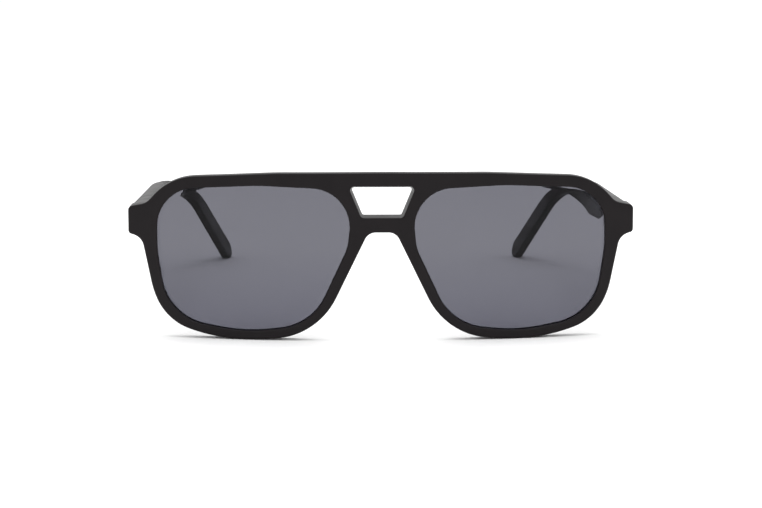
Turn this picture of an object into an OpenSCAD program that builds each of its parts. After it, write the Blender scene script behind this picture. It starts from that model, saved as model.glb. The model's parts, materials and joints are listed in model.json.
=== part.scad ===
// Flat-topped aviator sunglasses, standing open on the low edges of the rims and on the temple tips.
// X runs across the front, +X is the wearer's left. -Y is the way the wearer looks. +Z is up.
// The temple frame has its origin on the front face at mid width, with Y along the temples and Z square to
// them. Every module draws in that frame, and stand() sets the piece down on the surface at Z = 0.

/* [Lens openings] */
// Width of each lens opening
lens_w = 55; // [50:0.5:58]
// Height of each lens opening
lens_h = 41.4; // [38:0.2:44]
// Height of the top of the openings above the front's middle line
lens_top = 19.1; // [18:0.1:20]
// Gap between the two openings at its narrowest
bridge_gap = 18.2; // [16:0.2:21]
// How deep the groove runs behind the edge of the opening
groove_d = 0.6; // [0.4:0.1:0.9]
// Thickness of a lens
lens_t = 1.8; // [1.4:0.1:2.2]
// From the front face back to the groove
groove_inset = 1.3; // [1:0.1:1.5]
// Play round the lens in its groove
lens_gap = 0.02; // [0.01:0.01:0.05]

/* [Front] */
// How far the endpieces reach outwards of the openings
end_w = 8.4; // [8.1:0.1:10]
// Radius of the front's bend about an upright axis
front_r = 250; // [220:5:400]
// Thickness of the front
front_t = 4.4; // [4:0.1:5]
// Height of the brow bar above the openings
brow_h = 3.9; // [3:0.1:5]
// Width of the rims on the temple side
rim_side = 3.5; // [3:0.1:4.5]
// Height of the rims below the openings
rim_low = 2.6; // [2.2:0.1:3.5]
// Top of the endpieces above the middle line
end_top = 12.6; // [11.8:0.1:13.4]
// Height of the endpieces
end_h = 7.7; // [7.4:0.1:8.6]
// Lean of the front, its low edge towards the face
panto = 1; // [0:0.5:3]
// Top of the nose cut above the middle line
arch_z = 6; // [5:0.1:7]
// Half width of the nose cut at its top corners
arch_half = 3.9; // [3.4:0.1:4.6]
// Half width of the window at its top
window_top = 9.6; // [8.6:0.1:9.8]
// Half width of the window at its foot
window_foot = 5.9; // [5:0.1:6.6]
// Height of the window's foot above the middle line
window_z = 10.2; // [9.6:0.1:12]
// How far a nose pad stands behind the front
pad_h = 3.2; // [2:0.1:4.5]
// Top of the nose pads above the middle line
pad_top = 1; // [-1:0.1:1.4]
// Height of the nose pads
pad_l = 14; // [11:0.1:15]

/* [Temples] */
// From the front's middle back to the joint with the temples
joint_y = 19.4; // [18.4:0.1:21]
// Length of the temple from the joint to the corner of its bend
bend_len = 101; // [92:1:108]
// Radius of the bend over the ear
bend_r = 55; // [40:1:60]
// Length of the hook beyond the bend
hook_len = 42; // [36:0.5:48]
// Fall of the hook below the temple's line, in degrees
hook_drop = 37; // [32:1:42]
// Thickness of the temples
temple_t = 4.2; // [3.8:0.1:4.8]
// Thickness of the temples at their tips
tip_t = 2.8; // [2.6:0.1:4]
// Half width of the hook at its rounded tip
tip_r = 3.2; // [2.8:0.05:3.5]
// How far the tips stand inwards of the temple's line
tip_inset = 19.6; // [12:0.2:22]
// Height of the temple under its top edge just before the ear
temple_h = 10; // [8.6:0.1:10.5]
// Height of the temple at its waist over the ear
waist_h = 4.8; // [4.4:0.1:5.6]
// Gap between the front and a temple at the joint
joint_gap = 0.2; // [0.15:0.05:0.4]
// Side of the steel core inside the temples
core_t = 1.2; // [0.8:0.1:1.4]

/* [Hinges] */
// How far the hinge pin stands inwards of the temple's inner face
pin_inset = 2.2; // [2:0.1:2.5]
// Radius of the hinge knuckles
knuckle_r = 1.5; // [1.3:0.1:1.6]
// Height of the stack of five knuckles
stack_h = 5.5; // [5:0.1:5.8]
// Gap between neighbouring knuckles
knuckle_gap = 0.06; // [0.04:0.01:0.1]
// Radius of the screw's shank
screw_r = 0.7; // [0.6:0.05:0.8]
// Running play between the screw and the knuckles
screw_gap = 0.03; // [0.02:0.01:0.05]
// Radius of the screw's head
head_r = 1.15; // [1:0.05:1.3]
// Height of the screw's head
head_h = 0.5; // [0.4:0.05:0.6]
// Thickness of a hinge leaf
leaf_t = 1.1; // [0.9:0.1:1.3]
// Length of the front's hinge leaf
front_leaf_len = 4.4; // [3:0.1:4.8]
// From the pin back to the start of the temple's hinge leaf
leaf_start = 1.9; // [1.8:0.1:2.4]
// From the pin back to the end of the temple's hinge leaf
leaf_end = 9; // [7:0.5:12]

/* [Hidden] */
$fn = 48;

LEFT = 1;
RIGHT = -1;
ARC_STEPS = 8;
// taller and deeper than any piece, for cuts and blanks
FAR = 200;
// clearance between hinge parts and the pockets they turn in
POCKET_GAP = 0.2;
// clearance round parts that are set in plastic
SET_GAP = 0.02;
// how far a knuckle's neck runs into its leaf
NECK_LAP = 0.1;
// slot in the screw's head
SLOT_W = 0.24;
// the part of a side that the arcs at its two ends may take
ARC_ROOM = 0.98;

// ---- places worked out from the sizes above
lens_in = bridge_gap / 2;
lens_out = lens_in + lens_w;
lens_mid = (lens_in + lens_out) / 2;
lens_low = lens_top - lens_h;
brow_z = lens_top + brow_h;
half_w = lens_out + end_w;
end_low = end_top - end_h;
end_in = lens_out + groove_d + 0.6;
temple_top = end_top + 0.2;
temple_low = end_low + 0.2;
temple_out = half_w - 0.1;
temple_in = temple_out - temple_t;
temple_y = joint_y + joint_gap;
pin_x = temple_in - pin_inset;
pin_y = joint_y + joint_gap / 2;
pin_z = (temple_top + temple_low) / 2 - head_h / 2;
knuckle_pitch = stack_h / 5;
// where the front's leaf ends and its knuckles' necks begin
front_leaf_y = pin_y - knuckle_r - POCKET_GAP;

// ---- the hook's rounded tip
bend_y = temple_y + bend_len;
tip_y = bend_y + hook_len * cos(hook_drop) - tip_r * sin(hook_drop);
tip_z = temple_top - hook_len * sin(hook_drop) - tip_r * cos(hook_drop);

// how far a bend of radius r has fallen back at x
function sag(r, x) = r - sqrt(r * r - x * x);

// one corner [x, y, radius] as an arc that touches both of its sides
function corner_arc(before, corner, after) =
    let (p = [corner.x, corner.y],
         u = unit([before.x, before.y] - p),
         v = unit([after.x, after.y] - p),
         half = acos(u * v) / 2,
         centre = p + unit(u + v) * corner.z / sin(half),
         from = p + u * corner.z / tan(half) - centre,
         to = p + v * corner.z / tan(half) - centre,
         start = atan2(from.y, from.x),
         turn = turned(atan2(to.y, to.x) - start))
    corner.z == 0 ? [p]
    : [for (i = [0 : ARC_STEPS]) centre + corner.z * [cos(start + turn * i / ARC_STEPS),
                                                       sin(start + turn * i / ARC_STEPS)]];

function unit(v) = v / norm(v);

// an angle brought between -180 and 180
function turned(a) = a > 180 ? a - 360 : a < -180 ? a + 360 : a;

// how far along its sides a corner's arc reaches
function reach(before, corner, after) =
    let (p = [corner.x, corner.y],
         u = unit([before.x, before.y] - p),
         v = unit([after.x, after.y] - p))
    corner.z / tan(acos(u * v) / 2);

// the share of their radii that two corners keep, so that their arcs don't cross on the side between them
function share(a, b, reach_a, reach_b) =
    let (side = norm([b.x - a.x, b.y - a.y]))
    reach_a + reach_b > side ? ARC_ROOM * side / (reach_a + reach_b) : 1;

// the corners with each radius limited by the sides that it touches
function limited(corners) =
    let (n = len(corners),
         reaches = [for (i = [0 : n - 1])
             reach(corners[(i + n - 1) % n], corners[i], corners[(i + 1) % n])],
         shares = [for (i = [0 : n - 1]) share(corners[i], corners[(i + 1) % n],
                                               reaches[i], reaches[(i + 1) % n])])
    [for (i = [0 : n - 1]) [corners[i].x, corners[i].y,
                            corners[i].z * min(shares[i], shares[(i + n - 1) % n])]];

// a closed outline whose corners are [x, y, radius]
function rounded(wanted) =
    let (corners = limited(wanted), n = len(corners))
    [for (i = [0 : n - 1]) each corner_arc(corners[(i + n - 1) % n], corners[i], corners[(i + 1) % n])];

// an open run of rounded corners; its first and last corners stay sharp
function rounded_run(wanted) =
    let (corners = limited(wanted), n = len(corners))
    [[corners[0].x, corners[0].y],
     for (i = [1 : n - 2]) each corner_arc(corners[i - 1], corners[i], corners[i + 1]),
     [corners[n - 1].x, corners[n - 1].y]];

// a clockwise outline moved outwards by d, each point along the mean normal of its two sides
function grown(points, d) =
    let (n = len(points))
    [for (i = [0 : n - 1])
        let (a = unit(points[i] - points[(i + n - 1) % n]),
             b = unit(points[(i + 1) % n] - points[i]),
             normal = unit([-a.y - b.y, a.x + b.x]))
        points[i] + normal * d / (normal * [-a.y, a.x])];

function backwards(points) = [for (i = [len(points) - 1 : -1 : 0]) points[i]];

function mirrored(points) = [for (i = [len(points) - 1 : -1 : 0]) [-points[i].x, points[i].y]];

// the lens opening on the +X side, clockwise
lens_outline = rounded([
    [lens_in - 1.1, lens_top - 1.1, 11],
    [lens_mid - 1.6, lens_top + 0.1, 60],
    [lens_out, lens_top - 1.3, 11.5],
    [lens_out, 0, 30],
    [lens_out - 3, lens_low + 3.3, 15],
    [lens_mid + 2.4, lens_low - 0.6, 50],
    [lens_in + 11, lens_low + 1.8, 16],
    [lens_in + 0.7, 1.4, 12]]);

// the foot of the nose cut's straight flank, and how far out the flank is at a height z
flank_foot = [lens_in + 9.3, lens_low - rim_low + 1.2, 21];
function flank(z) = arch_half + (flank_foot.x - arch_half) * (arch_z - z) / (arch_z - flank_foot.y);

// the +X half of the front's outline, clockwise from the top
half_outline = rounded_run([
    [0, brow_z, 0],
    [lens_mid - 6.6, brow_z - 0.2, 100],
    [lens_out - 4.1, brow_z - 1.6, 17.5],
    [lens_out + 3.1, end_top + 1.1, 4.4],
    [half_w, end_top, 1.4],
    [half_w, end_low, 1],
    [lens_out + rim_side + 1, end_low - 1.1, 4],
    [lens_out + rim_side - 2.1, lens_low + 11.3, 24],
    [lens_out + rim_side - 5.8, lens_low - rim_low + 4.9, 15.5],
    [lens_mid + 8.4, lens_low - rim_low - 0.5, 53],
    flank_foot,
    [arch_half, arch_z, 3.3],
    [0, arch_z, 0]]);

window_outline = rounded([
    [-window_top, lens_top, 1.2], [window_top, lens_top, 1.2],
    [window_foot, window_z, 1.2], [-window_foot, window_z, 1.2]]);

// a nose pad's outline on the +X side, along the straight flank of the nose cut
pad_low = pad_top - pad_l;
pad_outline = rounded([
    [flank(pad_top) + 0.4, pad_top, 0.8], [flank(pad_top) + 2.7, pad_top, 0.8],
    [flank(pad_low) + 2.7, pad_low, 0.8], [flank(pad_low) + 0.6, pad_low - 0.6, 0.6]]);

// the temple seen from its side, as [Y, Z], clockwise
along_hook = [cos(hook_drop), -sin(hook_drop)];
across_hook = [sin(hook_drop), cos(hook_drop)];
tip_centre = [tip_y, tip_z];
tip_upper = tip_centre + tip_r * (along_hook + across_hook);
tip_lower = tip_centre + tip_r * (along_hook - across_hook);
temple_side = rounded([
    [temple_y, temple_top, 0.3],
    [bend_y, temple_top, bend_r],
    [tip_upper.x, tip_upper.y, tip_r - 0.01],
    [tip_lower.x, tip_lower.y, tip_r - 0.01],
    [bend_y - 3, temple_top - waist_h, 12],
    [bend_y - 32, temple_top - temple_h, 14],
    [temple_y, temple_low, 0.3]]);

// the outer face of the +X temple seen square to its hook, as [X, distance along the hook from its
// corner], moved inwards by d, and by tip_d at the tip; most of the turn inwards is done by turn_end
turn_start = -hook_len / 4;
turn_end = hook_len / 5;
TURN_SHARE = 0.55;
function temple_run(d, tip_d) = rounded_run([
    [temple_out - d, -FAR, 0],
    [temple_out - d, turn_start, 42],
    [temple_out - tip_d - tip_inset * TURN_SHARE, turn_end, 30],
    [temple_out - tip_d - tip_inset * (2 - TURN_SHARE), 2 * hook_len - turn_end, 0]]);
temple_plan = concat(temple_run(0, 0), backwards(temple_run(temple_t, tip_t)));

// the core wire from its side and from above, a square wire along the temple's top edge
core_depth = 1.9;
function core_run(d) = rounded_run([
    [temple_y + leaf_end, temple_top - d, 0],
    [bend_y - d * tan(hook_drop / 2), temple_top - d, bend_r - d],
    concat(tip_centre + across_hook * (tip_r - d) - along_hook * tip_r, [0])]);
function core_side(gap) = concat(core_run(core_depth - core_t / 2 - gap),
                                 backwards(core_run(core_depth + core_t / 2 + gap)));
function core_plan(gap) = concat(
    temple_run((temple_t - core_t) / 2 - gap, (tip_t - core_t) / 2 - gap),
    backwards(temple_run((temple_t + core_t) / 2 + gap, (tip_t + core_t) / 2 + gap)));

// the rims' lowest point on the back of the front, and the tilt that sets rims and tips on one plane
rim_z = min([for (p = half_outline) p.y]);
rim_x = lens_mid + 1;
rim_back = front_t + sag(front_r - front_t, rim_x);
rim_foot_y = rim_back * cos(panto) - rim_z * sin(panto);
rim_foot_z = rim_z * cos(panto) + rim_back * sin(panto);
foot_run = tip_y - rim_foot_y;
foot_rise = rim_foot_z - tip_z;
stand_tilt = -asin(tip_r / norm([foot_run, foot_rise])) - atan2(foot_rise, foot_run);
// the feet are rubbed flat by this much
REST_FLAT = 0.08;
stand_lift = tip_r - REST_FLAT - tip_z * cos(stand_tilt) + tip_y * sin(stand_tilt);
stand_front = arch_z * sin(stand_tilt - panto);
stand_back = tip_y * cos(stand_tilt) + tip_z * sin(stand_tilt) + tip_r;
stand_shift = -(stand_front + stand_back) / 2;

module on_side(side) {
    if (side == LEFT) children();
    else mirror([1, 0, 0]) children();
}

// sets a piece drawn in the temple frame down on the surface
module stand() {
    translate([0, stand_shift, stand_lift]) rotate([-stand_tilt, 0, 0]) children();
}

// an outline in X and Z run back along Y
module slab(points, depth) {
    rotate([90, 0, 0]) translate([0, 0, -depth]) linear_extrude(depth) polygon(points);
}

// everything behind the bent surface that lies this deep behind the front face
module behind_bend(depth) {
    translate([0, front_r, -FAR / 2]) cylinder(r = front_r - depth, h = FAR, $fn = 720);
}

// a layer of an outline between two depths behind the front face, both measured square to the bend
module bent_layer(points, from, to) {
    intersection() {
        slab(points, joint_y + 2);
        difference() {
            behind_bend(from);
            behind_bend(to);
        }
    }
}

module below_surface() {
    translate([-FAR, -FAR, -FAR]) cube([2 * FAR, 2 * FAR, FAR]);
}

// the front's plate with its two deep endpieces, not yet opened
module front_blank() {
    intersection() {
        slab(concat(half_outline, mirrored(half_outline)), joint_y + 2);
        behind_bend(0);
        union() {
            difference() {
                translate([-FAR / 2, -1, -FAR / 2]) cube([FAR, FAR / 2, FAR]);
                behind_bend(front_t);
            }
            for (side = [LEFT, RIGHT]) on_side(side)
                translate([end_in, 0, end_low - 0.8]) cube([FAR / 2, FAR / 2, end_h + 1.4]);
        }
    }
}

// the slotted room in which the knuckles turn
module knuckle_pocket() {
    translate([pin_x, pin_y, pin_z - stack_h / 2 - POCKET_GAP])
        cylinder(r = knuckle_r + POCKET_GAP, h = stack_h + head_h + 2 * POCKET_GAP);
}

// the plate of the front's hinge, from its buried end back to y, grown by gap for its slot
module front_leaf(y, gap) {
    buried_y = front_leaf_y - front_leaf_len;
    translate([pin_x - gap, buried_y - gap, pin_z - stack_h / 2 - gap])
        cube([leaf_t + 2 * gap, y - buried_y + gap, stack_h + 2 * gap]);
}

// the plate of the temple's hinge, half sunk in the temple's inner face, from y back to its far end,
// grown by gap for its slot
module temple_leaf(y, gap) {
    translate([temple_in - leaf_t / 2, y, pin_z - stack_h / 2 - gap])
        cube([leaf_t + gap, pin_y + leaf_end - y + gap, stack_h + 2 * gap]);
}

// one knuckle with the neck that ties it to its leaf, at a level from 0 at the bottom to 4
module knuckle(level, neck_x, neck_y, neck_w, neck_l) {
    translate([0, 0, pin_z - stack_h / 2 + level * knuckle_pitch + knuckle_gap / 2]) {
        difference() {
            union() {
                translate([pin_x, pin_y, 0]) cylinder(r = knuckle_r, h = knuckle_pitch - knuckle_gap);
                translate([neck_x, neck_y, 0]) cube([neck_w, neck_l, knuckle_pitch - knuckle_gap]);
            }
            translate([pin_x, pin_y, -1]) cylinder(r = screw_r + screw_gap, h = knuckle_pitch + 2);
        }
    }
}

module front_frame() {
    color("#26242a") difference() {
        stand() difference() {
            rotate([panto, 0, 0]) difference() {
                front_blank();
                for (side = [LEFT, RIGHT]) on_side(side) {
                    slab(lens_outline, joint_y);
                    bent_layer(grown(lens_outline, groove_d), groove_inset, groove_inset + lens_t);
                }
                slab(window_outline, joint_y);
            }
            translate([-FAR, joint_y, -FAR]) cube([2 * FAR, FAR, 2 * FAR]);
            for (side = [LEFT, RIGHT]) on_side(side) {
                knuckle_pocket();
                front_leaf(pin_y, SET_GAP);
            }
        }
        below_surface();
    }
}

module lens(side) {
    color("#5a5c66") stand() rotate([panto, 0, 0]) on_side(side)
        bent_layer(grown(lens_outline, groove_d - lens_gap), groove_inset + lens_gap,
                   groove_inset + lens_t - lens_gap);
}

module nose_pad(side) {
    color("#2c2a2e") stand() rotate([panto, 0, 0]) on_side(side)
        bent_layer(pad_outline, front_t, front_t + pad_h);
}

// a shape [X, distance along the hook] carried square to the hook
module beside_hook(plan) {
    translate([0, bend_y, temple_top]) rotate([-hook_drop, 0, 0]) translate([0, 0, -FAR])
        linear_extrude(2 * FAR) polygon(plan);
}

module temple(side) {
    color("#26242a") difference() {
        stand() on_side(side) difference() {
            intersection() {
                rotate([90, 0, 90]) linear_extrude(FAR) polygon(temple_side);
                beside_hook(temple_plan);
            }
            core_blank(SET_GAP);
            temple_leaf(pin_y, SET_GAP);
        }
        below_surface();
    }
}

// the core wire's solid, grown by gap for the channel it is moulded into
module core_blank(gap) {
    intersection() {
        rotate([90, 0, 90]) linear_extrude(FAR) polygon(core_side(gap));
        beside_hook(core_plan(gap));
    }
}

module core_wire(side) {
    color("silver") stand() on_side(side) core_blank(0);
}

module front_hinge(side) {
    color("silver") stand() on_side(side) {
        front_leaf(front_leaf_y, 0);
        for (level = [0, 2, 4]) knuckle(level, pin_x, front_leaf_y, leaf_t, pin_y - front_leaf_y);
    }
}

module temple_hinge(side) {
    color("silver") stand() on_side(side) {
        temple_leaf(pin_y + leaf_start, 0);
        for (level = [1, 3])
            knuckle(level, pin_x, pin_y, temple_in + leaf_t / 2 - pin_x, leaf_start + NECK_LAP);
    }
}

module hinge_screw(side) {
    color("gainsboro") stand() on_side(side) translate([pin_x, pin_y, pin_z - stack_h / 2])
        difference() {
            union() {
                cylinder(r = screw_r, h = stack_h);
                translate([0, 0, stack_h - knuckle_gap / 2]) cylinder(r = head_r, h = head_h);
            }
            translate([-head_r, -SLOT_W / 2, stack_h + head_h / 2]) cube([2 * head_r, SLOT_W, head_h]);
        }
}

front_frame();
lens(LEFT);  // left_lens
lens(RIGHT);  // right_lens
nose_pad(LEFT);  // left_nose_pad
nose_pad(RIGHT);  // right_nose_pad
temple(LEFT);  // left_temple
temple(RIGHT);  // right_temple
core_wire(LEFT);  // left_core_wire
core_wire(RIGHT);  // right_core_wire
front_hinge(LEFT);  // left_front_hinge
front_hinge(RIGHT);  // right_front_hinge
temple_hinge(LEFT);  // left_temple_hinge
temple_hinge(RIGHT);  // right_temple_hinge
hinge_screw(LEFT);  // left_hinge_screw
hinge_screw(RIGHT);  // right_hinge_screw
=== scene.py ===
import json
import math

import bmesh
import bpy
import numpy as np
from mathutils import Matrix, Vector
from mathutils.geometry import delaunay_2d_cdt


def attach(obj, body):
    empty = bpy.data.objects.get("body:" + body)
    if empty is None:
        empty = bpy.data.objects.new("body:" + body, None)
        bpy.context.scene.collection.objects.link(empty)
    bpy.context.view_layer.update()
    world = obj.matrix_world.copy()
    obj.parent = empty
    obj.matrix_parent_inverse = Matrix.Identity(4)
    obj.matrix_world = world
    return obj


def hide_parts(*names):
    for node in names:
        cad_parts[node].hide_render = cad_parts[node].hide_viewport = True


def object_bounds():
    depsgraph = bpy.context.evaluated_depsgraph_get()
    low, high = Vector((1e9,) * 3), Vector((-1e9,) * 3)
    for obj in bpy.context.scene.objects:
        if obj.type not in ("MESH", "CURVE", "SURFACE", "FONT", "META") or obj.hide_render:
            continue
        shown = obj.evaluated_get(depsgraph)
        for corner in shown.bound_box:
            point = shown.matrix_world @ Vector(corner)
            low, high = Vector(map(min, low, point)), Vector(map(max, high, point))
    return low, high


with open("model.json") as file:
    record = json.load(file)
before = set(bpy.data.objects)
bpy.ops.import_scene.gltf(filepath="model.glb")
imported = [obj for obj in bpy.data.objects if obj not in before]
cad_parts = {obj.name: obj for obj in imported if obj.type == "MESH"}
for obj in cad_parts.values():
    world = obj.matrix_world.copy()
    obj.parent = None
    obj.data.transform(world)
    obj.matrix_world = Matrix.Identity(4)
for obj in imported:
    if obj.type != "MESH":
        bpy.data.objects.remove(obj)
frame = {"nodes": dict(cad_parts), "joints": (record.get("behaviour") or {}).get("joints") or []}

cad_low, cad_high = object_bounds()

# ---- How the glasses stand ----
# They stand on the low edges of the rims and on the temple tips, so their own axes lean a little in the
# room. In their frame X runs across, Y back along the temples and Z up square to them, in millimetres
# from the middle of the front face. The left hinge pin says where that middle is.
MM = 0.001
left_fold = next(j for j in frame["joints"] if j["child"] == "left_temple")
pin_at = np.array(left_fold["pos_m"])
across = np.array([1.0, 0.0, 0.0])
up = np.array(left_fold["axis"]) / np.linalg.norm(left_fold["axis"])
back = np.cross(up, across)
pin_x = pin_at[0] / MM
pin_y = 19.5
pin_z = 8.7
middle = pin_at - MM * (pin_x * across + pin_y * back + pin_z * up)


def placed(x, y, z):
    """Points in the room, in metres: the middle of the front, plus x across, y back and z up in millimetres.
    The feet are rubbed flat, so nothing goes below the table's z = 0."""
    points = middle + MM * np.stack(np.broadcast_arrays(x, y, z), -1) @ np.stack([across, back, up])
    points[..., 2] = np.maximum(points[..., 2], 0)
    return points


# ---- Front ----
# One moulded piece of matte black plastic: brow bar, bridge, two rims and the endpieces that turn back to
# the temples. It is bent about an upright axis and leans back a little. Its faces are filled between the
# outlines, its edges are a rounded profile carried round each outline, and the lens openings are grooved.
lens_in = 9.1
lens_out = 64.1
lens_top = 19.1
lens_low = -22.3
lens_mid = (lens_in + lens_out) / 2
rim_side = 3.5
rim_low = 2.6
brow_z = 23.0
half_w = 72.5
end_top = 12.6
end_low = 4.9
arch_z = 6.0
arch_half = 3.9
window_top = 9.6
window_foot = 5.9
window_z = 10.2
front_r = 250.0
front_t = 4.4
groove_d = 0.6
groove_front = 1.3
groove_back = 3.1
joint_y = 19.4
lean = math.radians(1.0)
block_side = (65.1, 66.2)
block_foot = (3.9, 4.5)
block_head = (13.0, 13.8)
pocket_r = 1.7
pocket_low = 5.75
pocket_high = 12.15


def arcs(corners, steps=16):
    """Outline corners [x, z, r] turned by arcs: each arc has radius r and touches both sides that meet
    there. Its centre lies on the corner's bisector at r / sin(half the angle). Leading axes are separate
    outlines."""
    c = np.asarray(corners, float)
    p, r = c[..., :2], c[..., 2:]
    u = np.roll(p, 1, -2) - p
    v = np.roll(p, -1, -2) - p
    u = u / np.linalg.norm(u, axis=-1, keepdims=True)
    v = v / np.linalg.norm(v, axis=-1, keepdims=True)
    half = np.arccos(np.clip((u * v).sum(-1, keepdims=True), -1, 1)) / 2
    bisector = (u + v) / np.linalg.norm(u + v, axis=-1, keepdims=True)
    centre = p + bisector * r / np.sin(half)
    first = p + u * r / np.tan(half) - centre
    last = p + v * r / np.tan(half) - centre
    start = np.arctan2(first[..., 1], first[..., 0])
    turn = np.arctan2(last[..., 1], last[..., 0]) - start
    turn = (turn + np.pi) % (2 * np.pi) - np.pi
    angle = start[..., None] + turn[..., None] * np.linspace(0, 1, steps)
    ring = centre[..., None, :] + r[..., None] * np.stack([np.cos(angle), np.sin(angle)], -1)
    return ring.reshape(*c.shape[:-2], -1, 2)


def evenly(line, pitch, closed):
    """The same line with points about a pitch apart: x and z read off at equal steps of its length."""
    if closed:
        line = np.concatenate([line, line[:1]])
    run = np.concatenate([[0], np.cumsum(np.linalg.norm(np.diff(line, axis=0), axis=1))])
    steps = np.linspace(0, run[-1], round(run[-1] / pitch) + 1)
    even = np.stack([np.interp(steps, run, line[:, k]) for k in (0, 1)], 1)
    return even[:-1] if closed else even


def moved(loop, d):
    """A closed anticlockwise loop moved to its left by d, each point along its own normal."""
    t = np.roll(loop, -1, 0) - np.roll(loop, 1, 0)
    return loop + d * np.stack([-t[:, 1], t[:, 0]], 1) / np.linalg.norm(t, axis=1, keepdims=True)


def smooth(a, b, x):
    """Runs from 0 at a to 1 at b as 3t^2 - 2t^3."""
    t = np.clip((x - a) / (b - a), 0, 1)
    return t * t * (3 - 2 * t)


def bent(x, depth):
    """How far back a layer lies at x: a circle of radius 250 less the depth, about the bend's axis."""
    return front_r - np.sqrt((front_r - depth) ** 2 - x**2)


def leaned(y, z):
    """The y in the leaning front of a plane that is square to the temples at y."""
    return (y + z * math.sin(lean)) / math.cos(lean)


def on_front(x, y, z):
    """Points of the leaning front: y and z turned by the lean about X, then placed."""
    c, s = math.cos(lean), math.sin(lean)
    return placed(x, y * c - z * s, y * s + z * c)


def back_face(x, z):
    """The back of the front: a bent layer, raised to the joint plane at the endpieces by smooth steps in x
    and z, less the round room of each hinge, whose depth is a circle about the pin."""
    side = np.abs(x)
    plate = bent(x, front_t)
    block = smooth(*block_side, side) * smooth(*block_foot, z) * (1 - smooth(*block_head, z))
    y = plate + block * (leaned(joint_y, z) - plate)
    room = leaned(pin_y - np.sqrt(np.maximum(pocket_r**2 - (side - pin_x) ** 2, 0)), z)
    high = z * math.cos(lean) + room * math.sin(lean)
    in_room = (np.abs(side - pin_x) < pocket_r) & (high > pocket_low) & (high < pocket_high)
    return np.where(in_room, np.minimum(y, room), y)


def inside(points, loop):
    """Whether points lie in a loop: a line to the right of each crosses it an odd number of times."""
    x, z = points[:, :1], points[:, 1:]
    a, b = loop, np.roll(loop, -1, 0)
    rise = np.where(a[:, 1] == b[:, 1], 1e-12, b[:, 1] - a[:, 1])
    crossing = a[:, 0] + (z - a[:, 1]) * (b[:, 0] - a[:, 0]) / rise
    return (((a[:, 1] > z) != (b[:, 1] > z)) & (x < crossing)).sum(1) % 2 == 1


def clearance(points, loops):
    """The distance from each point to the nearest point of any loop."""
    reach = [np.linalg.norm(points[:, None] - loop[None], axis=-1).min(1) for loop in loops]
    return np.min(reach, 0)


def filled(loops, extra):
    """Triangles between the first loop and the others, which are holes: the Delaunay mesh of all the points
    that keeps every side of the loops, less the triangles whose middle is outside."""
    first = np.cumsum([0] + [len(loop) for loop in loops])
    sides = [
        np.stack([np.arange(len(loop)), np.roll(np.arange(len(loop)), -1)], 1) + k
        for loop, k in zip(loops, first)
    ]
    points = np.concatenate([*loops, extra])
    made = delaunay_2d_cdt([Vector(p) for p in points], np.concatenate(sides).tolist(), [], 0, 1e-6)
    flat = np.array([tuple(v) for v in made[0]])
    triangles = np.array(made[2])
    centres = flat[triangles].mean(1)
    keep = inside(centres, loops[0])
    for hole in loops[1:]:
        keep &= ~inside(centres, hole)
    return flat, triangles[keep]


merge_gap = 0.002 * MM


def skin(name, grids, sheets=(), sharp=38):
    """One closed mesh. A grid is rings of points, each ring joined all round to the next, and a sheet is
    points with their triangles. Points that meet are merged, faces with no area are taken out, and every
    face is turned outwards."""
    points, faces, count = [], [], 0
    for grid in grids:
        rows, columns = grid.shape[:2]
        here = np.arange(rows * columns).reshape(rows, columns) + count
        beside = np.roll(here, -1, 1)
        faces += np.stack([here[:-1], beside[:-1], beside[1:], here[1:]], -1).reshape(-1, 4).tolist()
        points.append(grid.reshape(-1, 3))
        count += rows * columns
    for spots, triangles in sheets:
        faces += (triangles + count).tolist()
        points.append(spots)
        count += len(spots)
    mesh = bpy.data.meshes.new(name)
    mesh.from_pydata(np.concatenate(points), [], faces)
    bm = bmesh.new()
    bm.from_mesh(mesh)
    bmesh.ops.remove_doubles(bm, verts=bm.verts, dist=merge_gap)
    bmesh.ops.dissolve_degenerate(bm, edges=bm.edges, dist=merge_gap)
    bmesh.ops.recalc_face_normals(bm, faces=bm.faces)
    bm.to_mesh(mesh)
    bm.free()
    mesh.shade_smooth()
    mesh.set_sharp_from_angle(angle=math.radians(sharp))
    piece = bpy.data.objects.new(name, mesh)
    bpy.context.scene.collection.objects.link(piece)
    return piece


def mirrored(loop):
    """The same anticlockwise loop on the other side of the middle."""
    return loop[::-1] * [-1, 1]


def rounding(r, steps=5):
    """A quarter-round edge of radius r as pairs [inset, drop], from the face down to the wall."""
    a = np.linspace(0, np.pi / 2, steps)
    return np.stack([r - r * np.sin(a), r - r * np.cos(a)], 1)


lens_corners = [
    [lens_in - 1.1, lens_top - 1.1, 11],
    [lens_mid - 1.6, lens_top + 0.1, 60],
    [lens_out, lens_top - 1.3, 11.5],
    [lens_out, 0, 30],
    [lens_out - 3, lens_low + 3.3, 15],
    [lens_mid + 2.4, lens_low - 0.6, 50],
    [lens_in + 11, lens_low + 1.8, 16],
    [lens_in + 0.7, 1.4, 12],
]
flank_foot = [lens_in + 9.3, lens_low - rim_low + 1.2, 21]
half_corners = [
    [0, brow_z, 0],
    [lens_mid - 6.6, brow_z - 0.2, 100],
    [lens_out - 4.1, brow_z - 1.6, 17.5],
    [lens_out + 3.1, end_top + 1.1, 4.4],
    [half_w, end_top, 1.4],
    [half_w, end_low, 1],
    [lens_out + rim_side + 1, end_low - 1.1, 4],
    [lens_out + rim_side - 2.1, lens_low + 11.3, 24],
    [lens_out + rim_side - 5.8, lens_low - rim_low + 4.9, 15.5],
    [lens_mid + 8.4, lens_low - rim_low - 0.5, 53],
    flank_foot,
    [arch_half, arch_z, 3.3],
    [0, arch_z, 0],
]
window_corners = [
    [-window_foot, window_z, 1.2],
    [window_foot, window_z, 1.2],
    [window_top, lens_top, 1.2],
    [-window_top, lens_top, 1.2],
]
edge_pitch = 0.3
half_run = evenly(arcs(half_corners), edge_pitch, closed=False)[::-1]
outer_loop = np.concatenate([half_run, (half_run[::-1] * [-1, 1])[1:-1]])
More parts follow.
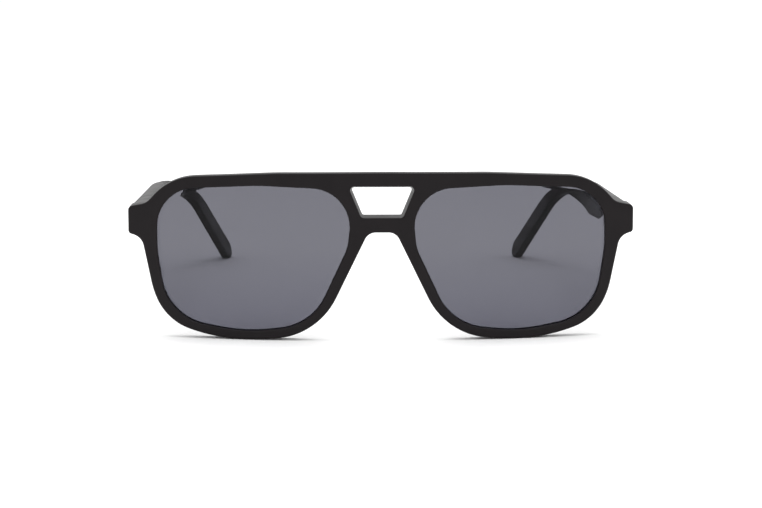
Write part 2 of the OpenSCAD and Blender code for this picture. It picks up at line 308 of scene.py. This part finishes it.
left_opening = evenly(arcs(lens_corners), edge_pitch, closed=True)[::-1]
window_loop = evenly(arcs(window_corners), edge_pitch, closed=True)

# each edge: its loop, which side the plastic is on, its front and back radii, and the wall between
# them as pairs of inset and depth behind the front face
groove = [[0, groove_front], [groove_d, groove_front], [groove_d, groove_back], [0, groove_back]]
window_draft = 0.6
edges = [
    (outer_loop, 1, 0.55, 0.45, [], 0),
    (left_opening, -1, 0.3, 0.4, groove, 0),
    (mirrored(left_opening), -1, 0.3, 0.4, groove, 0),
    (window_loop, -1, 0.35, 0.4, [], -window_draft),
]

# a narrow flat band runs between each rounding and the filled face, so that the rounding shades evenly
edge_band = 0.25
front_rings, face_loops, rear_loops = [], [], []
for loop, plastic, front_edge, back_edge, wall, draft in edges:
    rings = []
    for inset, drop in [(front_edge + edge_band, 0), *rounding(front_edge)]:
        x, z = moved(loop, plastic * inset).T
        rings.append(on_front(x, bent(x, drop), z))
    for inset, depth in wall:
        x, z = moved(loop, plastic * inset).T
        rings.append(on_front(x, bent(x, depth), z))
    for inset, drop in [*rounding(back_edge)[::-1], (back_edge + edge_band, 0)]:
        x, z = moved(loop, plastic * (inset + draft)).T
        rings.append(on_front(x, back_face(x, z) - drop, z))
    front_rings.append(np.stack(rings))
    face_loops.append(moved(loop, plastic * (front_edge + edge_band)))
    rear_loops.append(moved(loop, plastic * (back_edge + edge_band + draft)))

# points inside the faces: coarse ones all over, and fine ones where the back steps up at the endpieces
sheet_pitch = 1.1
mesh_x, mesh_z = np.meshgrid(np.arange(-71.5, 71.6, sheet_pitch), np.arange(-25, 23, sheet_pitch))
coarse = np.stack([mesh_x.ravel(), mesh_z.ravel()], 1)
step_columns = np.arange(64.2, 68.0, 0.16)
step_rows = np.arange(3.4, 14.4, 0.4)
step_edge = 0.03
fine_x, fine_z = np.meshgrid(step_columns, step_rows)
step_z = np.array([pocket_low, pocket_high]) - pin_y * math.sin(lean)
step_x, step_pairs = np.meshgrid(step_columns, np.concatenate([step_z - step_edge, step_z + step_edge]))
fine = np.concatenate(
    [np.stack([fine_x.ravel(), fine_z.ravel()], 1), np.stack([step_x.ravel(), step_pairs.ravel()], 1)]
)
fine = np.concatenate([fine, fine * [-1, 1]])


def within(points, loops, margin):
    """The points that lie in the plastic between the loops, at least a margin from them."""
    keep = inside(points, loops[0]) & (clearance(points, loops) > margin)
    for hole in loops[1:]:
        keep &= ~inside(points, hole)
    return points[keep]


flat, triangles = filled(face_loops, within(coarse, face_loops, 0.5))
face_sheet = (on_front(flat[:, 0], bent(flat[:, 0], 0), flat[:, 1]), triangles)
flat, triangles = filled(rear_loops, within(np.concatenate([coarse, fine]), rear_loops, 0.3))
rear_sheet = (on_front(flat[:, 0], back_face(flat[:, 0], flat[:, 1]), flat[:, 1]), triangles)
front = skin("moulded_front", front_rings, [face_sheet, rear_sheet])


def shaded(name, **settings):
    """A new material, its nodes and its shader, with the shader's own sockets set to the values given."""
    mat = bpy.data.materials.new(name)
    mat.use_nodes = True
    shader = mat.node_tree.nodes["Principled BSDF"]
    for socket, value in settings.items():
        shader.inputs[socket.replace("_", " ")].default_value = value
    return mat, mat.node_tree, shader


def grain(tree, scale, stretch=(1, 1, 1), detail=3):
    """Noise on the piece's own coordinates: scale is cells in a metre, and stretch squeezes each axis."""
    where = tree.nodes.new("ShaderNodeTexCoord")
    turned = tree.nodes.new("ShaderNodeMapping")
    turned.inputs["Scale"].default_value = stretch
    noise = tree.nodes.new("ShaderNodeTexNoise")
    noise.inputs["Scale"].default_value = scale
    noise.inputs["Detail"].default_value = detail
    tree.links.new(where.outputs["Object"], turned.inputs["Vector"])
    tree.links.new(turned.outputs["Vector"], noise.inputs["Vector"])
    return noise.outputs["Fac"]


def spread(tree, source, low, high, socket, span=(0.3, 0.7)):
    """Carries a source to a socket as values from low to high, over the source's span: that of noise."""
    ranged = tree.nodes.new("ShaderNodeMapRange")
    ranged.inputs["From Min"].default_value = span[0]
    ranged.inputs["From Max"].default_value = span[1]
    ranged.inputs["To Min"].default_value = low
    ranged.inputs["To Max"].default_value = high
    tree.links.new(source, ranged.inputs["Value"])
    tree.links.new(ranged.outputs["Result"], socket)


def tinted(tree, source, dark, light, socket):
    """Carries noise to a colour socket as a blend of two colours."""
    ramp = tree.nodes.new("ShaderNodeValToRGB")
    ramp.color_ramp.elements[0].position = 0.3
    ramp.color_ramp.elements[0].color = (*dark, 1)
    ramp.color_ramp.elements[1].position = 0.7
    ramp.color_ramp.elements[1].color = (*light, 1)
    tree.links.new(source, ramp.inputs["Fac"])
    tree.links.new(ramp.outputs["Color"], socket)


def bumped(tree, source, shader, height):
    """Raises the surface by noise of that height in millimetres."""
    bump = tree.nodes.new("ShaderNodeBump")
    bump.inputs["Distance"].default_value = height * MM
    tree.links.new(source, bump.inputs["Height"])
    tree.links.new(bump.outputs["Normal"], shader.inputs["Normal"])


# the rubbery black of the front and temples: a very fine moulded tooth under a faint mottling
black, tree, shader = shaded("matte_black", Specular_IOR_Level=0.16)
mottle = grain(tree, 160)
tinted(tree, mottle, (0.0052, 0.0036, 0.0044), (0.0074, 0.0054, 0.0062), shader.inputs["Base Color"])
spread(tree, mottle, 0.36, 0.44, shader.inputs["Roughness"])
bumped(tree, grain(tree, 5200, detail=2), shader, 0.0006)
front.data.materials.append(black)
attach(front, "front")
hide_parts("front_frame")

# ---- Lenses ----
# Two smoke-grey plastic lenses, 1.8 mm thick, sprung into the grooves of the rims. Each is a pair of
# bowed surfaces on rays from its middle to its edge, joined by a thin ground bevel.
lens_front = groove_front + 0.02
lens_back = groove_back - 0.02
lens_fit = groove_d - 0.02
lens_bow = 0.3
lens_bevel = 0.15


def lens_rings(edge, centre):
    """Rings of one lens. Point (u, v) lies v of the way from the middle to edge point u, at a depth of the
    face less a bow of 0.3 mm times 1 - v^2. The rings run in over the front and out over the back."""
    v = np.concatenate([[0.0], np.linspace(0.04, 1, 26)])
    rows = []
    for share, depth in [*zip(v, np.full(v.size, lens_front)), *zip(v[::-1], np.full(v.size, lens_back))]:
        ring = centre + (edge - centre) * share
        bevel = lens_bevel * (share == 1) * (1 if depth == lens_front else -1)
        x, z = ring.T
        rows.append(on_front(x, bent(x, depth + bevel - lens_bow * (1 - share**2)), z))
    return np.stack(rows)


# the smoke tint deepens a little towards the bottom, with a faint unevenness
tint, tree, shader = shaded("smoke_lens", Transmission_Weight=1.0, IOR=1.2)
cast = grain(tree, 30, detail=1)
where = tree.nodes.new("ShaderNodeTexCoord")
parts = tree.nodes.new("ShaderNodeSeparateXYZ")
total = tree.nodes.new("ShaderNodeMath")
tree.links.new(where.outputs["Object"], parts.inputs["Vector"])
spread(tree, parts.outputs["Z"], 0.27, 0.66, total.inputs[0], (0.004, 0.026))
spread(tree, cast, 0.0, 0.04, total.inputs[1])
smoke_low = (0.111, 0.111, 0.137)
smoke_high = (0.127, 0.127, 0.147)
tinted(tree, total.outputs["Value"], smoke_low, smoke_high, shader.inputs["Base Color"])
spread(tree, cast, 0.0, 0.006, shader.inputs["Roughness"])
bumped(tree, cast, shader, 0.0002)
# the edge is ground, and its near-black colour is painted shade: it stands in for the dark line of shade
# where each lens meets its groove, and keeps the edge from gleaming there
groove_shade_black, tree, shader = shaded("painted_groove_shade", Specular_IOR_Level=0.2)
tooth = grain(tree, 3000, detail=2)
tinted(tree, tooth, (0.004, 0.004, 0.005), (0.008, 0.008, 0.009), shader.inputs["Base Color"])
spread(tree, tooth, 0.6, 0.8, shader.inputs["Roughness"])
bumped(tree, tooth, shader, 0.004)
# faces turned further than this from the lens's own faces belong to its edge
edge_facing = 0.8
for side, opening in (("left", left_opening), ("right", mirrored(left_opening))):
    lens_edge = moved(opening, -lens_fit)
    lens = skin(f"{side}_smoke_lens", [lens_rings(lens_edge, lens_edge.mean(0))], sharp=25)
    lens.data.materials.append(tint)
    # the second slot is the near-black painted shade that the edge faces take
    lens.data.materials.append(groove_shade_black)
    facing = np.zeros(3 * len(lens.data.polygons))
    lens.data.polygons.foreach_get("normal", facing)
    on_edge = np.abs(facing.reshape(-1, 3) @ back) < edge_facing
    lens.data.polygons.foreach_set("material_index", on_edge.astype(np.int32))
    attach(lens, "front")
    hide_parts(f"{side}_lens")

# ---- Nose pads ----
# A long low pad of the same black stands behind each flank of the nose cut and rests on the nose. Each is
# a smooth dome over its outline, with its foot sunk in the back of the front.
pad_top = 1.0
pad_low = -13.0
pad_h = 3.2
pad_sunk = 0.4


def flank(z):
    """How far out the straight flank of the nose cut is at a height z."""
    return arch_half + (flank_foot[0] - arch_half) * (arch_z - z) / (arch_z - flank_foot[1])


pad_corners = [
    [flank(pad_top) + 0.4, pad_top, 0.8],
    [flank(pad_top) + 2.7, pad_top, 0.8],
    [flank(pad_low) + 2.7, pad_low, 0.8],
    [flank(pad_low) + 0.6, pad_low - 0.6, 0.6],
]
pad_loop = evenly(arcs(pad_corners), 0.25, closed=True)
pad_black, tree, shader = shaded("pad_black", Specular_IOR_Level=0.35)
mottle = grain(tree, 220)
tinted(tree, mottle, (0.007, 0.0065, 0.0072), (0.011, 0.010, 0.011), shader.inputs["Base Color"])
spread(tree, mottle, 0.30, 0.38, shader.inputs["Roughness"])
bumped(tree, grain(tree, 3600, detail=2), shader, 0.003)


def pad_rings(edge):
    """Rings of a pad: height over the front's back is 3.2 mm times sqrt(1 - v^4), v of the way from the
    middle to the edge, and a flat foot closes it inside the front."""
    centre = edge.mean(0)
    rows = []
    for share in np.sin(np.linspace(0, np.pi / 2, 22)):
        x, z = (centre + (edge - centre) * share).T
        rows.append(on_front(x, bent(x, front_t + pad_h * math.sqrt(max(1 - share**4, 0))), z))
    for share in (1.0, 0.5, 0.0):
        x, z = (centre + (edge - centre) * share).T
        rows.append(on_front(x, bent(x, front_t - pad_sunk), z))
    return np.stack(rows)


for side, edge in (("left", pad_loop), ("right", mirrored(pad_loop))):
    pad = skin(f"{side}_domed_pad", [pad_rings(edge)], sharp=60)
    pad.data.materials.append(pad_black)
    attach(pad, "front")
    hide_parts(f"{side}_nose_pad")

# ---- Temples ----
# Moulded of the same black round a steel wire: deep at the joint, thin over the ear, with a hook that
# drops and leans inwards to a rounded tip. One section, with a bevel along its outer top edge, is carried
# from the joint to the tip between the temple's top and bottom lines.
temple_y = 19.6
temple_top = 12.8
temple_low = 5.1
temple_t = 4.2
temple_out = 72.4
tip_t = 2.8
bend_y = 120.6
bend_r = 55.0
hook_len = 42.0
hook_drop = math.radians(37)
tip_r = 3.2
tip_inset = 19.6
turn_start = -hook_len / 4
turn_end = hook_len / 5
turn_share = 0.55
turn_r = 42.0
settle_r = 30.0
plan_reach = 200.0
joint_round = 0.35
temple_h = 10.0
waist_h = 4.8
bevel_w = 2.4
bevel_h = 0.55

along = np.array([math.cos(hook_drop), -math.sin(hook_drop)])
over = np.array([math.sin(hook_drop), math.cos(hook_drop)])
tip = np.array([bend_y, temple_top]) + along * hook_len - over * tip_r


def run_of(corners, count):
    """An open line with rounded corners, as a fixed number of points at equal steps of its length."""
    line = arcs(corners)[15:-15]
    run = np.concatenate([[0], np.cumsum(np.linalg.norm(np.diff(line, axis=0), axis=1))])
    steps = np.linspace(0, run[-1], count)
    return np.stack([np.interp(steps, run, line[:, k]) for k in (0, 1)], 1)


def plan_x(reach, d, tip_d):
    """The temple's face seen square to its hook, moved inwards by d, and by tip_d at the tip: x read off its
    line of rounded corners at a distance along the hook."""
    line = run_of(
        [
            [temple_out - d, -plan_reach, 0],
            [temple_out - d, turn_start, turn_r],
            [temple_out - tip_d - tip_inset * turn_share, turn_end, settle_r],
            [temple_out - tip_d - tip_inset * (2 - turn_share), 2 * hook_len - turn_end, 0],
        ],
        3000,
    )
    return np.interp(reach, line[:, 1], line[:, 0])


def in_temple(side, y, z, u):
    """A point of a temple at y and z: its x lies u of the way from the outer face to the inner one, and both
    are read at (y - bend_y) cos(drop) - (z - top) sin(drop), the distance along the hook from its corner."""
    reach = (y - bend_y) * math.cos(hook_drop) - (z - temple_top) * math.sin(hook_drop)
    outer, inner = plan_x(reach, 0, 0), plan_x(reach, temple_t, tip_t)
    return placed(side * (outer + (inner - outer) * u), y, z)


def temple_rings(side):
    """Rings of a temple. The section's point (u, v) lies v of its height up from the bottom line to the top
    line, and u of its thickness in from the outer face."""
    steps = 190
    upper = run_of(
        [[temple_y, temple_top, 0], [bend_y, temple_top, bend_r], [*(tip + over * tip_r), 0]],
        steps,
    )
    lower = run_of(
        [
            [temple_y, temple_low, 0],
            [bend_y - 32, temple_top - temple_h, 14],
            [bend_y - 3, temple_top - waist_h, 12],
            [*(tip - over * tip_r), 0],
        ],
        steps,
    )
    turn = np.linspace(0, np.pi / 2, 16)[1:, None]
    upper = np.concatenate([upper, tip + tip_r * (over * np.cos(turn) + along * np.sin(turn))])
    lower = np.concatenate([lower, tip + tip_r * (-over * np.cos(turn) + along * np.sin(turn))])
    h = np.maximum(np.linalg.norm(upper - lower, axis=1), 0.02)
    r = np.minimum(0.75, 0.3 * h)
    zero = np.zeros_like(h)
    full = zero + temple_t
    corners = np.stack(
        [
            np.stack([zero, zero, r], -1),
            np.stack([full, zero, r], -1),
            np.stack([full, h, 0.8 * r], -1),
            np.stack([zero + bevel_w, h, 1.6 * r], -1),
            np.stack([zero, h - np.minimum(bevel_h, 0.12 * h), 0.6 * r], -1),
        ],
        1,
    )
    section = arcs(corners, 7)
    u = section[..., 0] / temple_t
    v = section[..., 1] / h[:, None]
    spot = lower[:, None] + (upper - lower)[:, None] * v[..., None]
    body = in_temple(side, spot[..., 0], spot[..., 1], u)
    # the joint end: a flat end closed at its middle, then a rounded edge
    rows = []
    for inset, drop in rounding(joint_round, 4):
        end_u = 0.5 + (u[0] - 0.5) * (1 - 2 * inset / temple_t)
        end_v = 0.5 + (v[0] - 0.5) * (1 - 2 * inset / h[0])
        z = lower[0, 1] + (upper[0, 1] - lower[0, 1]) * end_v
        rows.append(in_temple(side, np.full_like(z, temple_y + drop), z, end_u))
    cap = np.broadcast_to(rows[0].mean(0), rows[0].shape)
    close = np.broadcast_to(body[-1].mean(0), body[-1:].shape)
    return np.concatenate([np.stack([cap, *rows]), body[1:], close])


for side, sign in (("left", 1), ("right", -1)):
    temple = skin(f"{side}_moulded_temple", [temple_rings(sign)], sharp=50)
    temple.data.materials.append(black)
    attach(temple, f"{side}_temple")
    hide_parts(f"{side}_temple")

# ---- Core wires ----
# A drawn steel wire is moulded into each temple, where it stiffens the arm and keeps the hook's bend. Its
# drawing lines run along it.
wire, tree, shader = shaded("drawn_steel", Metallic=1.0)
lines = grain(tree, 900, (4, 0.1, 4))
tinted(tree, lines, (0.42, 0.41, 0.39), (0.60, 0.59, 0.57), shader.inputs["Base Color"])
spread(tree, lines, 0.28, 0.42, shader.inputs["Roughness"])
bumped(tree, lines, shader, 0.003)

# ---- Hinges ----
# Each hinge is two stamped leaves of satin nickel silver: three knuckles on the front's leaf, two on the
# temple's. The satin finish runs along the leaves.
nickel, tree, shader = shaded("satin_nickel", Metallic=1.0)
satin = grain(tree, 2600, (0.6, 0.12, 1))
tinted(tree, satin, (0.46, 0.44, 0.40), (0.66, 0.64, 0.60), shader.inputs["Base Color"])
spread(tree, satin, 0.24, 0.38, shader.inputs["Roughness"])
bumped(tree, satin, shader, 0.002)

# ---- Hinge screws ----
# A slotted steel screw runs down through the five knuckles and is the hinge's pin. Its head is turned
# bright, with faint rings from the tool.
steel, tree, shader = shaded("turned_steel", Metallic=1.0)
swirl = grain(tree, 4200, (1, 1, 0.2), detail=2)
tinted(tree, swirl, (0.55, 0.55, 0.56), (0.72, 0.72, 0.73), shader.inputs["Base Color"])
spread(tree, swirl, 0.14, 0.26, shader.inputs["Roughness"])
bumped(tree, swirl, shader, 0.0015)

for side in ("left", "right"):
    for node, finish in (
        (f"{side}_core_wire", wire),
        (f"{side}_front_hinge", nickel),
        (f"{side}_temple_hinge", nickel),
        (f"{side}_hinge_screw", steel),
    ):
        for place in frame["nodes"][node].material_slots:
            place.material = finish

# ---- Table and light ----
# A plain white table in a white room, with one large soft light over the glasses. The room is a little
# brighter than white, so that the table stays white to its far edge.
span = (cad_high - cad_low).length
table_mesh = bpy.data.meshes.new("table")
half_table = 40 * span
table_mesh.from_pydata(
    [(half_table * x, half_table * y, 0) for x, y in ((-1, -1), (1, -1), (1, 1), (-1, 1))],
    [],
    [(0, 1, 2, 3)],
)
table = bpy.data.objects.new("table", table_mesh)
bpy.context.scene.collection.objects.link(table)
paper, tree, shader = shaded("white_paper", Roughness=0.9, Specular_IOR_Level=0.1)
fleck = grain(tree, 60)
tinted(tree, fleck, (0.93, 0.93, 0.93), (0.95, 0.95, 0.95), shader.inputs["Base Color"])
table_mesh.materials.append(paper)

world = bpy.data.worlds.new("white_room")
bpy.context.scene.world = world
world.use_nodes = True
world.node_tree.nodes["Background"].inputs["Color"].default_value = (1, 1, 1, 1)
world.node_tree.nodes["Background"].inputs["Strength"].default_value = 1.08


def softbox(name, at, aim, size, power):
    """A square area light at a point, turned to face the point that it aims at."""
    lamp = bpy.data.lights.new(name, "AREA")
    lamp.size = size
    lamp.energy = power
    box = bpy.data.objects.new(name, lamp)
    box.location = at
    box.rotation_mode = "QUATERNION"
    box.rotation_quaternion = (Vector(aim) - Vector(at)).to_track_quat("-Z", "Y")
    bpy.context.scene.collection.objects.link(box)


softbox("overhead", (0, 0.1, 0.9), (0, 0, 0), 0.9, 6)

# ---- Camera ----
# A long lens a little above the glasses and a hair to one side, aimed close to the middle of the front.
pitch = math.radians(6.37)
yaw = math.radians(1.3)
distance = 637
aim_off = 0.35
view_line = np.array([math.sin(yaw) * math.cos(pitch), math.cos(yaw) * math.cos(pitch), -math.sin(pitch)])
forward = Vector(view_line @ np.stack([across, back, up]))
camera_data = bpy.data.cameras.new("camera")
camera_data.lens = 106.5
camera_data.sensor_width = 36
camera_data.clip_start = 0.01
camera_data.clip_end = 50
camera = bpy.data.objects.new("camera", camera_data)
camera.location = Vector(middle - MM * aim_off * across) - forward * distance * MM
camera.rotation_mode = "QUATERNION"
camera.rotation_quaternion = forward.to_track_quat("-Z", "Y")
bpy.context.scene.collection.objects.link(camera)
bpy.context.scene.camera = camera
bpy.context.scene.view_settings.view_transform = "Standard"
